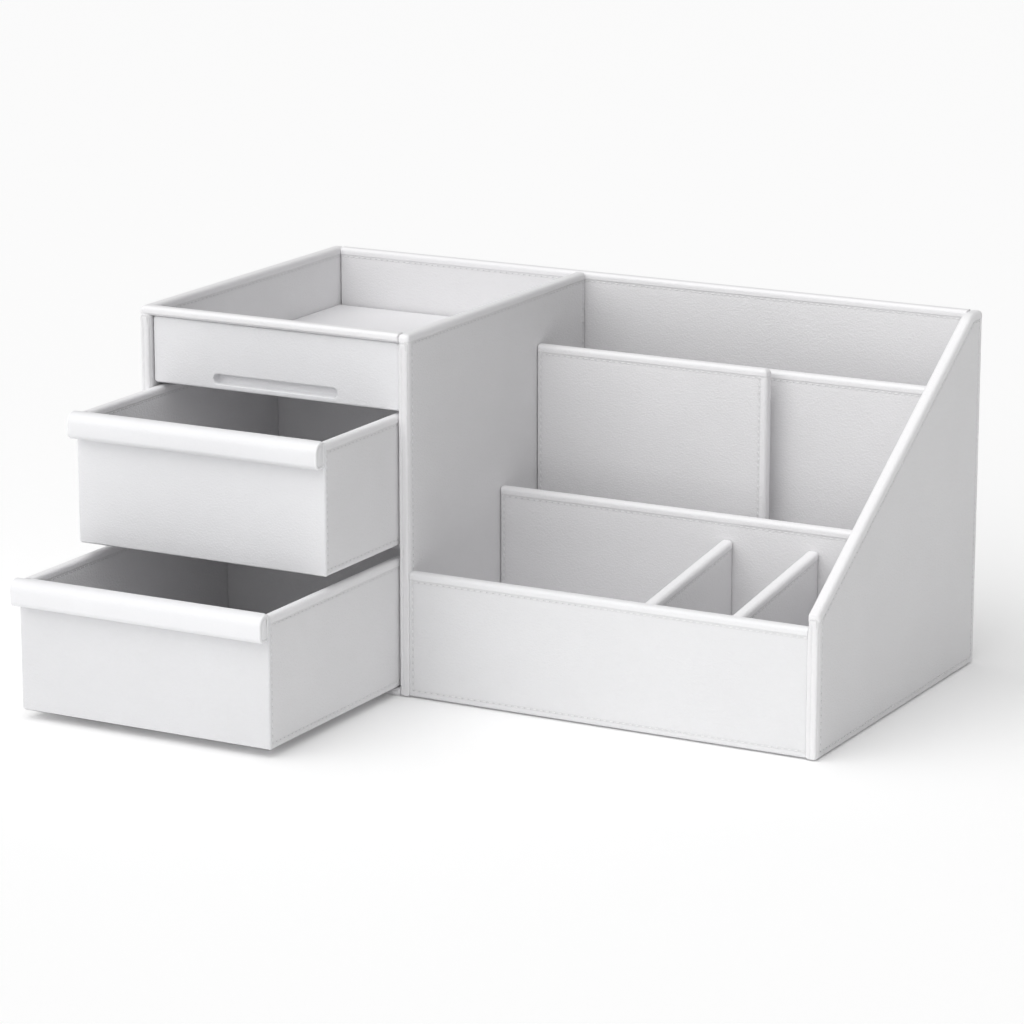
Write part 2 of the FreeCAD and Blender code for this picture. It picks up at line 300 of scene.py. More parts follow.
def wrapped_board(name, node, thin, free_sides, seams_high=(), seams_low=(), material=None,
                  top_front=None, slope_end=None, seed=0.0, mitre=0, grow=None, flush_ends=False):
    """A board in a leather skin: rolled free rims, stitch grooves, and wadding between them.

    thin is the axis across the board. seams_high and seams_low are the sides with a stitch line
    on the face that looks along that axis and on the face that looks against it. mitre is the
    face, 1 or -1, that meets a drawer's front at a mitre. grow moves the low and the high corner
    of the CAD node's box outwards.
    """
    outline = Outline(node, thin, top_front, slope_end, grow)
    names = SIDE_NAMES[thin]
    free = [side in free_sides for side in names]
    half = outline.half
    rounds = [edge_round(side, free[i], half, flush_ends) for i, side in enumerate(names)]
    sewn = set(seams_high) | set(seams_low)
    seam_at = [seam_distance(side, free[i]) if side in sewn else 0
               for i, side in enumerate(names)]
    steps = [rim_steps(rounds[i], seam_at[i], i == 3 and free[3]) for i in range(4)]
    u_rows, u_low, u_high = spread(outline.u1 - outline.u0, steps[0], steps[1])
    v_rows, v_low, v_high = spread(outline.v1 - outline.v0, steps[2], steps[3])
    us = [row_value(row, u_low, u_high, outline.u0, outline.u1) for row in u_rows]
    if slope_end is not None:
        us = sorted(us + [slope_end])
    rounded_sides = range(1 if mitre else 0, 4)
    vertices, painted_edge_highlight, painted_crease_shade = [], [], []
    for sheet, seams in ((1, seams_high), (-1, seams_low)):
        for u_base in us:
            for v_row in v_rows:
                v = row_value(v_row, v_low, v_high, outline.v0, outline.top(u_base))
                u, v, corner = round_corner(outline, u_base, v, free)
                edges = outline.distances(u, v)
                if corner is not None:
                    edges = [min(corner, edges[i]) if free[i] else edges[i] for i in range(4)]
                height = min(profile(edges[i], rounds[i], half) for i in rounded_sides)
                skin, crease = skin_relief(edges, names, seams, free, u, v, sheet, seed)
                w = sheet * max(0.0, height + skin * smooth(height / half * 1.5 - 0.5))
                if mitre:
                    u = mitred(u, outline.u0, CORNER_ROUND if sheet == mitre else 2 * half)
                vertices.append(outline.place(u, v, w))
                # Painted highlight near the free rims, and painted shade in the stitch grooves and
                # under a rim's band.
                to_rim = min([edges[i] for i in range(4) if free[i]], default=1.0)
                painted_edge_highlight.append(1 - smooth((to_rim - RIM_BAND) / BAND_STEP))
                painted_crease_shade.append(max(crease, band_crease(edges[3]) if free[3] else 0.0))
    piece = new_object(name, vertices, two_sheets(len(us), len(v_rows)),
                       {"painted_edge_highlight": painted_edge_highlight, "painted_crease_shade": painted_crease_shade})
    stand_for(piece, node, material)
    for sheet, seams in ((1, seams_high), (-1, seams_low)):
        add_seams(BODY_OF[node], outline, names, seams, free, sheet)


def band_crease(from_top):
    """How deep in the crease under a rim's band a point lies."""
    under = from_top - RIM_BAND - BAND_STEP * 0.8
    return math.exp(-(under / BAND_CREASE) ** 2)


def mitred(u, start, cut):
    """Draw the first rows of a face back, so that the face begins at a mitre."""
    reach = 2 * cut
    return u if u - start > reach else start + cut + (u - start) / 2


def seam_distance(side, is_free):
    """Distance of a stitch line from the side it runs along."""
    if side == "bottom":
        return FOOT_SEAM
    if not is_free:
        return BUTT_SEAM
    return TOP_SEAM if side == "top" else STRIP_SEAM


def skin_relief(edges, names, seams, free, u, v, sheet, seed):
    """Relief of the skin and how deep in a seam's groove a point of the face lies."""
    relief = WADDING * smooth(min(edges) / SWELL_WIDTH) - WADDING * 0.4
    if free[3]:
        relief += BAND_PROUD * (1 - smooth((edges[3] - RIM_BAND) / BAND_STEP))
    crease = 0.0
    for i, side in enumerate(names):
        if side not in seams:
            continue
        line = seam_distance(side, free[i])
        beside = min(edges[k] - (seam_distance(names[k], free[k]) if names[k] in seams else 0)
                     for k in range(4) if k // 2 != i // 2)
        ends = smooth((beside + GROOVE_END) / GROOVE_END)
        groove = math.exp(-((edges[i] - line) / GROOVE_WIDTH) ** 2) * ends
        relief -= GROOVE_DEPTH * groove
        crease = max(crease, groove)
    wave = noise.noise(Vector((u * WAVE_SCALE + seed, v * WAVE_SCALE - seed, sheet * 3.7 + seed)))
    return relief + WAVE * wave, crease


# ---- stitch lines

seam_paths = {}


def add_seams(body, outline, names, seams, free, sheet):
    """Remember the stitch lines of one face of a board."""
    inset = [seam_distance(side, free[i]) if side in seams else SEAM_STOP
             for i, side in enumerate(names)]
    u0, u1 = outline.u0 + inset[0], outline.u1 - inset[1]
    v0 = outline.v0 + inset[2]
    w = sheet * (outline.half - GROOVE_DEPTH * 0.4)
    kink = outline.u_kink

    def top_at(u):
        return min(outline.top_line(u) - inset[3] / outline.slope_cos, outline.v1 - inset[3])

    lines = []
    if names[0] in seams:
        lines.append([(u0, v0), (u0, top_at(u0))])
    if names[1] in seams:
        lines.append([(u1, v0), (u1, top_at(u1))])
    if names[2] in seams:
        lines.append([(u0, v0), (u1, v0)])
    if names[3] in seams:
        if outline.slope_sin > 0 and kink < outline.u1 - 1 * MM:
            corner = kink + inset[3] * (1 - outline.slope_cos) / outline.slope_sin
            lines.append([(u0, top_at(u0)), (corner, top_at(corner)), (u1, top_at(u1))])
        else:
            lines.append([(u0, top_at(u0)), (u1, top_at(u1))])
    normal = [0.0, 0.0, 0.0]
    normal[outline.w_axis] = float(sheet)
    for line in lines:
        points = [outline.place(u, v, w) for u, v in line]
        seam_paths.setdefault(body, []).append((points, normal))


def seam_row_tree(name, material):
    """Geometry Nodes that set a row of small rounded marks along every seam path.

    Each mark lies along the path, its height along the attribute outward, slightly askew.
    """
    tree = bpy.data.node_groups.new(name, "GeometryNodeTree")
    face = tree.interface
    face.new_socket("Seams", in_out="INPUT", socket_type="NodeSocketGeometry")
    for label in ("Pitch", "Start", "Length", "Width", "Height"):
        face.new_socket(label, in_out="INPUT", socket_type="NodeSocketFloat")
    face.new_socket("Row", in_out="OUTPUT", socket_type="NodeSocketGeometry")
    link = tree.links.new
    given, result = add(tree, "NodeGroupInput"), add(tree, "NodeGroupOutput")

    to_curve = add(tree, "GeometryNodeMeshToCurve")
    trim = add(tree, "GeometryNodeTrimCurve", mode="LENGTH")
    whole = add(tree, "GeometryNodeSplineLength")
    resample = add(tree, "GeometryNodeResampleCurve", mode="LENGTH")
    usable = {socket.name: socket for socket in trim.inputs if socket.enabled}
    link(given.outputs["Seams"], to_curve.inputs["Mesh"])
    link(to_curve.outputs["Curve"], trim.inputs["Curve"])
    link(given.outputs["Start"], usable["Start"])
    link(whole.outputs["Length"], usable["End"])
    link(trim.outputs["Curve"], resample.inputs["Curve"])
    link(given.outputs["Pitch"], resample.inputs["Length"])

    tangent = add(tree, "GeometryNodeInputTangent")
    outward = add(tree, "GeometryNodeInputNamedAttribute", {"Name": "outward"},
                  data_type="FLOAT_VECTOR")
    along = add(tree, "FunctionNodeAlignRotationToVector", axis="X")
    up = add(tree, "FunctionNodeAlignRotationToVector", axis="Z", pivot_axis="X")
    slant = add(tree, "FunctionNodeRandomValue", {"Seed": 11}, data_type="FLOAT_VECTOR")
    slant.inputs["Min"].default_value = (-0.02, -0.05, -0.02)
    slant.inputs["Max"].default_value = (0.02, 0.05, 0.16)
    to_rotation = add(tree, "FunctionNodeEulerToRotation")
    turned = add(tree, "FunctionNodeRotateRotation", rotation_space="LOCAL")
    link(tangent.outputs["Tangent"], along.inputs["Vector"])
    link(along.outputs["Rotation"], up.inputs["Rotation"])
    link(outward.outputs["Attribute"], up.inputs["Vector"])
    link(slant.outputs["Value"], to_rotation.inputs["Euler"])
    link(up.outputs["Rotation"], turned.inputs["Rotation"])
    link(to_rotation.outputs["Rotation"], turned.inputs["Rotate By"])

    ball = add(tree, "GeometryNodeMeshUVSphere", {"Segments": 6, "Rings": 5, "Radius": 0.5})
    size = add(tree, "ShaderNodeCombineXYZ")
    shaped = add(tree, "GeometryNodeTransform")
    for label, axis in (("Length", "X"), ("Width", "Y"), ("Height", "Z")):
        link(given.outputs[label], size.inputs[axis])
    link(ball.outputs["Mesh"], shaped.inputs["Geometry"])
    link(size.outputs["Vector"], shaped.inputs["Scale"])

    sew = add(tree, "GeometryNodeInstanceOnPoints")
    real = add(tree, "GeometryNodeRealizeInstances")
    finish = add(tree, "GeometryNodeSetMaterial", {"Material": material})
    link(resample.outputs["Curve"], sew.inputs["Points"])
    link(shaped.outputs["Geometry"], sew.inputs["Instance"])
    link(turned.outputs["Rotation"], sew.inputs["Rotation"])
    link(sew.outputs["Instances"], real.inputs["Geometry"])
    link(real.outputs["Geometry"], finish.inputs["Geometry"])
    link(finish.outputs["Geometry"], result.inputs["Row"])
    return tree


def seam_row(name, body, paths, tree, material, sizes):
    """One plain mesh with all the stitches, or all the needle holes, that ride on a body."""
    vertices, edges, normals = [], [], []
    for points, normal in paths:
        first = len(vertices)
        vertices += [tuple(point) for point in points]
        normals += [normal] * len(points)
        edges += [(first + i, first + i + 1) for i in range(len(points) - 1)]
    mesh = bpy.data.meshes.new(name)
    mesh.from_pydata(vertices, edges, [])
    layer = mesh.attributes.new("outward", "FLOAT_VECTOR", "POINT")
    layer.data.foreach_set("vector", np.array(normals, np.float32).ravel())
    carrier = bpy.data.objects.new("seam_paths", mesh)
    bpy.context.scene.collection.objects.link(carrier)
    modifier = carrier.modifiers.new("row", "NODES")
    modifier.node_group = tree
    for item in tree.interface.items_tree:
        if item.in_out == "INPUT" and item.name in sizes:
            modifier[item.identifier] = sizes[item.name]
    evaluated = carrier.evaluated_get(bpy.context.evaluated_depsgraph_get())
    sewn = bpy.data.meshes.new_from_object(evaluated)
    carrier.modifiers.remove(modifier)
    bpy.data.objects.remove(carrier)
    sewn.materials.clear()
    sewn.materials.append(material)
    sewn.shade_smooth()
    piece = bpy.data.objects.new(name, sewn)
    bpy.context.scene.collection.objects.link(piece)
    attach(piece, body)
    return piece


def sew_everything():
    """Stitches and needle holes for every body that has seams."""
    stitch = dict(Pitch=STITCH_PITCH, Start=STITCH_PITCH * 0.5, Length=STITCH_LENGTH,
                  Width=THREAD_WIDTH, Height=THREAD_HEIGHT)
    hole = dict(Pitch=STITCH_PITCH, Start=0.02 * MM, Length=HOLE_LENGTH, Width=HOLE_WIDTH,
                Height=HOLE_HEIGHT)
    stitch_rows = seam_row_tree("stitch_rows", THREAD)
    hole_rows = seam_row_tree("needle_hole_rows", HOLE)
    for body, paths in seam_paths.items():
        seam_row(body + "_stitches", body, paths, stitch_rows, THREAD, stitch)
        seam_row(body + "_needle_holes", body, paths, hole_rows, HOLE, hole)


# ---- materials

GRAIN = 1100.0               # pebbles of the grain per metre
WARP_SCALE = 0.45            # waves of the grain's unevenness for each pebble
WARP_REACH = 1.4 * MM        # how far that unevenness moves the pebbles
PORE_SCALE = 2.6             # pores for each pebble
PORE_SHARE = 0.35            # height of the pores, as a share of the pebbles' height
GRAIN_STRENGTH = 0.55
CLOUD_SCALE = 22.0           # clouds per metre
CLOUD_TONE = 0.972           # darkest cloud, as a share of the tint
RIM_HIGHLIGHT = 1.15              # brightness of the painted highlight on the rims, as a share of the tint
RIM_HIGHLIGHT_LIMIT = 0.96
RIM_HIGHLIGHT_SHARE = 0.45             # how much of that brightness shows
CREASE_SHADE = 0.8            # brightness of the painted shade at the bottom of a crease, as a share of the tint
CREASE_SHADE_SHARE = 0.45
FOOT_SHADE_FROM = 20 * MM     # heights between which the painted shade near the ground fades out
FOOT_SHADE_TO = 130 * MM


def shader_nodes(name):
    """A new material with an empty tree, its shader and its output."""
    material = bpy.data.materials.new(name)
    material.use_nodes = True
    tree = material.node_tree
    tree.nodes.clear()
    output = add(tree, "ShaderNodeOutputMaterial")
    shader = add(tree, "ShaderNodeBsdfPrincipled")
    tree.links.new(shader.outputs["BSDF"], output.inputs["Surface"])
    return material, tree, shader


def times(tint, factor):
    """A tint made darker or lighter, as an opaque colour."""
    return tuple(c * factor for c in tint) + (1,)


def ramp(tree, pattern, low, high):
    """Colour that follows a pattern between two (position, colour) stops."""
    stops = add(tree, "ShaderNodeValToRGB")
    for stop, (position, colour) in zip(stops.color_ramp.elements, (low, high)):
        stop.position, stop.color = position, colour
    tree.links.new(pattern.outputs["Fac"], stops.inputs["Fac"])
    return stops.outputs["Color"]


def leather(name, tint, roughness, grain_depth, seed, grain=GRAIN, foot=1.0):
    """White coated leather: pebble grain, faint clouding, a painted highlight on the rims and
    painted shade in the creases.

    foot is the share of its brightness that is left near the ground: painted shade, darker towards
    the ground, that evens out the light the floor throws up.
    """
    material, tree, shader = shader_nodes(name)
    link = tree.links.new
    place = add(tree, "ShaderNodeTexCoord")
    mapping = add(tree, "ShaderNodeMapping", {"Location": (seed, seed * 0.7, -seed)})
    link(place.outputs["Object"], mapping.inputs["Vector"])

    pebbles = add(tree, "ShaderNodeTexVoronoi",
                  {"Scale": grain, "Smoothness": 0.6, "Randomness": 1.0}, feature="SMOOTH_F1")
    warp = add(tree, "ShaderNodeTexNoise", {"Scale": grain * WARP_SCALE, "Detail": 3.0})
    shift = add(tree, "ShaderNodeVectorMath", {1: (WARP_REACH, WARP_REACH, WARP_REACH)},
                operation="MULTIPLY_ADD")
    pores = add(tree, "ShaderNodeTexNoise", {"Scale": grain * PORE_SCALE, "Detail": 4.0})
    height = add(tree, "ShaderNodeMath", {1: PORE_SHARE}, operation="MULTIPLY_ADD")
    bump = add(tree, "ShaderNodeBump", {"Strength": GRAIN_STRENGTH, "Distance": grain_depth})
    link(mapping.outputs["Vector"], warp.inputs["Vector"])
    link(warp.outputs["Color"], shift.inputs[0])
    link(mapping.outputs["Vector"], shift.inputs[2])
    link(shift.outputs["Vector"], pebbles.inputs["Vector"])
    link(mapping.outputs["Vector"], pores.inputs["Vector"])
    link(pores.outputs["Fac"], height.inputs[0])
    link(pebbles.outputs["Distance"], height.inputs[2])
    link(height.outputs["Value"], bump.inputs["Height"])
    link(bump.outputs["Normal"], shader.inputs["Normal"])

    cloud = add(tree, "ShaderNodeTexNoise", {"Scale": CLOUD_SCALE, "Detail": 5.0})
    link(mapping.outputs["Vector"], cloud.inputs["Vector"])
    clouded = ramp(tree, cloud, (0.3, times(tint, CLOUD_TONE)), (0.7, times(tint, 1)))

    def toned(attribute, share, tone, below):
        """Mix a tone over the colour below where an attribute of the points says so."""
        where = add(tree, "ShaderNodeAttribute", attribute_name=attribute)
        weight = add(tree, "ShaderNodeMath", {1: share}, operation="MULTIPLY")
        mixed = add(tree, "ShaderNodeMix", {7: tone}, data_type="RGBA")
        link(where.outputs["Fac"], weight.inputs[0])
        link(weight.outputs["Value"], mixed.inputs[0])
        link(below, mixed.inputs[6])
        return mixed.outputs[2]

    # Painted highlight on the rims and painted shade in the creases, read from attributes of the
    # points.
    rim_highlight_colour = tuple(min(RIM_HIGHLIGHT_LIMIT, c * RIM_HIGHLIGHT) for c in tint) + (1,)
    with_rim_highlight = toned("painted_edge_highlight", RIM_HIGHLIGHT_SHARE, rim_highlight_colour, clouded)
    colour = toned("painted_crease_shade", CREASE_SHADE_SHARE, times(tint, CREASE_SHADE), with_rim_highlight)
    # Painted shade: the colour darkens towards the ground.
    if foot < 1.0:
        position = add(tree, "ShaderNodeSeparateXYZ")
        share = add(tree, "ShaderNodeMapRange", {"From Min": FOOT_SHADE_FROM, "To Min": foot,
                                                 "From Max": FOOT_SHADE_TO, "To Max": 1.0})
        dimmed = add(tree, "ShaderNodeVectorMath", operation="SCALE")
        link(place.outputs["Object"], position.inputs["Vector"])
        link(position.outputs["Z"], share.inputs["Value"])
        link(colour, dimmed.inputs[0])
        link(share.outputs["Result"], dimmed.inputs["Scale"])
        colour = dimmed.outputs["Vector"]
    link(colour, shader.inputs["Base Color"])

    gloss = add(tree, "ShaderNodeMapRange", {"From Max": 0.7, "To Min": roughness - 0.05,
                                             "To Max": roughness + 0.07})
    link(pebbles.outputs["Distance"], gloss.inputs["Value"])
    link(gloss.outputs["Result"], shader.inputs["Roughness"])
    shader.inputs["Specular IOR Level"].default_value = 0.42
    shader.inputs["Sheen Weight"].default_value = 0.05
    shader.inputs["Sheen Roughness"].default_value = 0.5
    return material


def twisted_thread(name, tint):
    """Off-white polyester sewing thread with a fine twist."""
    material, tree, shader = shader_nodes(name)
    place = add(tree, "ShaderNodeTexCoord")
    twist = add(tree, "ShaderNodeTexWave", {"Scale": 900.0, "Distortion": 1.5}, wave_type="BANDS",
                bands_direction="DIAGONAL")
    bump = add(tree, "ShaderNodeBump", {"Strength": 0.4, "Distance": 0.05 * MM})
    tree.links.new(place.outputs["Object"], twist.inputs["Vector"])
    tone = ramp(tree, twist, (0, times(tint, 0.86)), (1, times(tint, 1)))
    tree.links.new(tone, shader.inputs["Base Color"])
    tree.links.new(twist.outputs["Fac"], bump.inputs["Height"])
    tree.links.new(bump.outputs["Normal"], shader.inputs["Normal"])
    shader.inputs["Roughness"].default_value = 0.6
    return material


def hole_shade_leather(name, tint):
    """Painted shade: dark leather that stands for the shadow at the bottom of a needle hole."""
    material, tree, shader = shader_nodes(name)
    place = add(tree, "ShaderNodeTexCoord")
    speckle = add(tree, "ShaderNodeTexNoise", {"Scale": 1500.0})
    tree.links.new(place.outputs["Object"], speckle.inputs["Vector"])
    tone = ramp(tree, speckle, (0, times(tint, 0.8)), (1, times(tint, 1)))
    tree.links.new(tone, shader.inputs["Base Color"])
    shader.inputs["Roughness"].default_value = 0.9
    shader.inputs["Specular IOR Level"].default_value = 0.1
    return material


BOARD = leather("board_leather", (0.80, 0.795, 0.805), 0.50, 0.27 * MM, 0.0)
# The front wall and the fronts take painted shade that darkens them towards the ground.
WALL = leather("front_wall_leather", (0.80, 0.80, 0.81), 0.50, 0.26 * MM, 1.7, foot=0.95)
FRONT = leather("front_leather", (0.825, 0.825, 0.84), 0.48, 0.25 * MM, 3.1, foot=0.86)
LIP = leather("lip_leather", (0.83, 0.83, 0.845), 0.40, 0.12 * MM, 5.7, grain=1000.0)
LINING = leather("lining_leather", (0.79, 0.785, 0.80), 0.56, 0.26 * MM, 8.3)
THREAD = twisted_thread("thread", (0.85, 0.85, 0.855))
# Dark marks in the needle holes: painted shade.
HOLE = hole_shade_leather("needle_hole", (0.60, 0.60, 0.61))


# ---- cabinet

END_GAPS = ((-JOINT_GAP, 0, 0), (-JOINT_GAP, 0, 0))
BACK_GAP = ((0, 0, 0), (0, -JOINT_GAP, 0))
LIFTED = ((0, 0, -FOOT_LIFT), (0, 0, 0))
LIFTED_END_GAPS = ((-JOINT_GAP, 0, -FOOT_LIFT), (-JOINT_GAP, 0, 0))
LIFTED_BACK_GAP = ((0, 0, -FOOT_LIFT), (0, -BACK_JOINT_GAP, 0))

SLOPE_CORNER = 2.7 * MM      # height that the CAD's rounding takes off the foot of the slope
RAIL_PROUD = 0.1 * MM        # the top rail's skin stands out this much from the boards behind it
STRIP_HALF = 2.85 * MM       # half width of a facing strip
STRIP_WALL_HALF = 3.0 * MM   # the same on the side where the front wall meets it
STRIP_PROUD = 0.42 * MM      # how far a strip stands out from its board
STRIP_EDGE = 0.25 * MM       # height of a strip's edge
STRIP_SUNK = 1.2 * MM        # how deep its back lies in the board
STRIP_CREASE = 0.46 * MM     # depth of its folds
STRIP_FOOT = 1.3 * MM        # rounding of its lower end
STRIP_ARCH = 2.7 * MM        # rounding of its upper end
STRIP_PITCH = 1.6 * MM       # rows of points up the strip
STRIP_UNEVEN = 0.11 * MM


def height_at_front(node):
    """Height of a board's CAD solid at its front end."""
    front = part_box(node)[0].y + 0.1 * MM
    return max(v.co.z for v in frame["nodes"][node].data.vertices if v.co.y < front)


def make_cabinet():
    """The fixed outer boards, the floors and the shelves."""
    wrapped_board("left_side_leather", "left_side_panel", "x", ("top", "front", "back"),
                  seams_high=("top", "back", "front"), seams_low=SIDE_NAMES["x"], material=BOARD,
                  seed=1, grow=LIFTED)
    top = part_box("right_side_panel")[1].z
    vertices = frame["nodes"]["right_side_panel"].data.vertices
    slope_foot = height_at_front("right_side_panel") + SLOPE_CORNER
    slope_end = min(v.co.y for v in vertices if v.co.z > top - 0.1 * MM)
    wrapped_board("right_side_leather", "right_side_panel", "x", ("top", "front", "back"),
                  seams_high=SIDE_NAMES["x"], seams_low=("top", "front", "back"), material=BOARD,
                  top_front=slope_foot, slope_end=slope_end, seed=2, grow=LIFTED)
    wrapped_board("partition_leather", "partition_panel", "x", ("top", "front"),
                  seams_high=("top", "front", "back"), seams_low=("top", "back"), material=BOARD,
                  seed=3, grow=LIFTED_BACK_GAP)
    wrapped_board("back_leather", "back_panel", "y", ("top",), seams_high=SIDE_NAMES["y"],
                  seams_low=("top",), material=BOARD, seed=4, grow=LIFTED_END_GAPS)
    wrapped_board("front_wall_leather", "front_wall", "y", ("top",), seams_high=("top",),
                  seams_low=("left", "bottom", "top"), material=WALL, seed=5, flush_ends=True,
                  grow=LIFTED)
    to_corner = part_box("top_front_rail")[0].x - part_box("left_side_panel")[0].x
    wrapped_board("top_rail_leather", "top_front_rail", "y", ("left", "top", "bottom"),
                  material=BOARD, seed=6,
                  grow=((to_corner + RAIL_PROUD, 0.15 * MM, 0), (0, RAIL_PROUD, 0.12 * MM)))
    edge_strip("left_side", "left_side_panel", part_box("top_front_rail")[0].z + 0.4 * MM, 21)
    partition_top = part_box("partition_panel")[1].z
    edge_strip("partition", "partition_panel", partition_top - 3.4 * MM, 22, wall_side=1)
    edge_strip("right_side", "right_side_panel", slope_foot - 1.6 * MM, 23, wall_side=-1)
    floors = ("tower_base_panel", "compartment_base_panel", "drawer_shelf", "tray_shelf")
    for seed, node in enumerate(floors, start=7):
        wrapped_board(node + "_lining", node, "z", ("front",), material=LINING, seed=seed)


def strip_fold(x, crease_at, depth, inwards, below_top):
    """How deep in a fold of the strip a point lies: a wavy crease, and an arch at the top."""
    straight = math.exp(-((x - crease_at) / (0.3 * MM)) ** 2)
    straight *= depth * smooth(below_top / (3 * MM) - 0.8)
    arch = math.exp(-((min(inwards, below_top) - 0.8 * MM) / (0.24 * MM)) ** 2)
    return max(straight, arch * smooth(3 - below_top / (2 * MM)))


def edge_strip(name, node, top, seed, wall_side=0):
    """Facing strip glued on a board's front upright edge, creased along its length.

    wall_side is the side, -1 or 1, where the low front wall meets it.
    """
    low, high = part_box(node)
    wall_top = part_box("front_wall")[1].z
    middle, board_half = (low.x + high.x) / 2, (high.x - low.x) / 2
    bottom = low.z + FOOT_LIFT
    levels = max(2, round((top - bottom) / STRIP_PITCH))
    straight = top - bottom - STRIP_FOOT - STRIP_ARCH
    ends = arc_angles(0, 12, 26, 42, 58, 74, 90)
    heights = [bottom + STRIP_FOOT * (1 - math.cos(a)) for a in ends]
    heights += [bottom + STRIP_FOOT + straight * k / levels for k in range(1, levels)]
    heights += [top - STRIP_ARCH * (1 - math.sin(a)) for a in ends]
    across = [math.sin(a) for a in arc_angles(*range(-90, 91, 6))]
    vertices, painted_crease_shade = [], []
    for cover in (1, 0):
        for z in heights:
            end_share = max(0.0, min((z - bottom) / STRIP_FOOT, (top - z) / STRIP_ARCH, 1.0))
            opened = math.sqrt(max(0.0, 1 - (1 - end_share) ** 2))
            crease_at = -0.5 * MM + 0.5 * MM * noise.noise(Vector((z * 150, seed, 0)))
            depth = 0.4 + 0.9 * abs(noise.noise(Vector((z * 260, 0, seed))))
            for t in across:
                by_wall = smooth((wall_top - z) / (3 * MM)) if t * wall_side > 0 else 0.0
                width = STRIP_HALF + (STRIP_WALL_HALF - STRIP_HALF) * by_wall
                width *= max(0.02, opened)
                x, inwards = t * width, (1 - abs(t)) * width
                rounding = STRIP_ROUND * (1 - 0.75 * by_wall)
                over = max(0.0, abs(x) - board_half + rounding)
                board_face = low.y + rounding - math.sqrt(max(0.0, rounding ** 2 - over ** 2))
                fold = strip_fold(x, crease_at, depth, inwards, top - z)
                proud = STRIP_PROUD * smooth((1 - abs(t)) * (4.5 + 7 * by_wall))
                proud *= smooth(opened * 1.8)
                proud += STRIP_UNEVEN * noise.noise(Vector((x * 500, z * 160, seed)))
                proud += STRIP_EDGE * (smooth((1 - abs(t)) * 8) - 1)
                y = board_face - proud + STRIP_CREASE * fold if cover else board_face + STRIP_SUNK
                vertices.append((middle + x, y, z))
                painted_crease_shade.append(fold * cover)
    # A little of the rims' painted highlight all over the strip, and painted shade in its folds.
    piece = new_object(name + "_facing_strip", vertices, two_sheets(len(heights), len(across)),
                       {"painted_edge_highlight": [0.3] * len(vertices), "painted_crease_shade": painted_crease_shade})
    piece.data.materials.append(BOARD)
    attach(piece, BODY_OF[node])


def make_dividers():
    """Boards that part the open compartments."""
    wrapped_board("step_divider_leather", "step_divider", "y", ("top",), seams_high=("top",),
                  seams_low=("top", "left", "right"), material=BOARD, seed=12, grow=END_GAPS)
    wrapped_board("file_divider_leather", "file_divider", "y", ("top", "right"),
                  seams_high=("top", "right"), seams_low=("top", "left", "right"), material=BOARD,
                  seed=13, grow=END_GAPS)
    wrapped_board("rear_divider_leather", "rear_divider", "y", ("top", "left"),
                  seams_high=("top",), seams_low=("top", "right"), material=BOARD, seed=14,
                  grow=END_GAPS)
    wrapped_board("lap_batten_lining", "lap_batten", "y", (), material=LINING, seed=15,
                  grow=((0, 0, 0), (-2.2 * MM, 0, -2 * MM)))
    for seed, node in enumerate(("pen_divider_left", "pen_divider_right"), start=16):
        wrapped_board(node + "_leather", node, "x", ("top",), seams_high=("top",),
                      seams_low=("top",), material=BOARD, top_front=height_at_front(node),
                      seed=seed, grow=BACK_GAP)


# ---- drawers and tray

def rounded_outline(corners, radii, inset=0.0, pitch=POINT_PITCH, turns=8):
    """Closed outline with rounded corners, drawn in by inset, as points and outward directions."""
    count = len(corners)
    area = sum(corners[i - 1][0] * corners[i][1] - corners[i][0] * corners[i - 1][1]
               for i in range(count))
    turn = 1 if area > 0 else -1
    arcs, runs = [], []
    for i, radius in enumerate(radii):
        here = Vector(corners[i])
        to_last = (Vector(corners[i - 1]) - here).normalized()
        to_next = (Vector(corners[(i + 1) % count]) - here).normalized()
        half_angle = to_last.angle(to_next) / 2
        inward = (to_last + to_next).normalized()
        centre = here + inward * (max(radius, inset) / math.sin(half_angle))
        first = Vector((-to_last.y, to_last.x)) * turn
        last = Vector((to_next.y, -to_next.x)) * turn
        steps = turns if radius > 0.2 * MM else 1
        ways = [first.slerp(last, k / steps).normalized() for k in range(steps + 1)]
        arcs.append([(centre + way * max(0.0, radius - inset), way) for way in ways])
        reach = radius / math.tan(half_angle)
        runs.append((here + to_next * reach, here + to_last * reach))
    points, outward = [], []
    for i, arc in enumerate(arcs):
        points += [point for point, way in arc]
        outward += [way for point, way in arc]
        following = (i + 1) % count
        pieces = max(1, round((runs[following][1] - runs[i][0]).length / pitch))
        start, end = arc[-1][0], arcs[following][0][0]
        points += [start.lerp(end, k / pieces) for k in range(1, pieces)]
        outward += [arc[-1][1]] * (pieces - 1)
    return points, outward


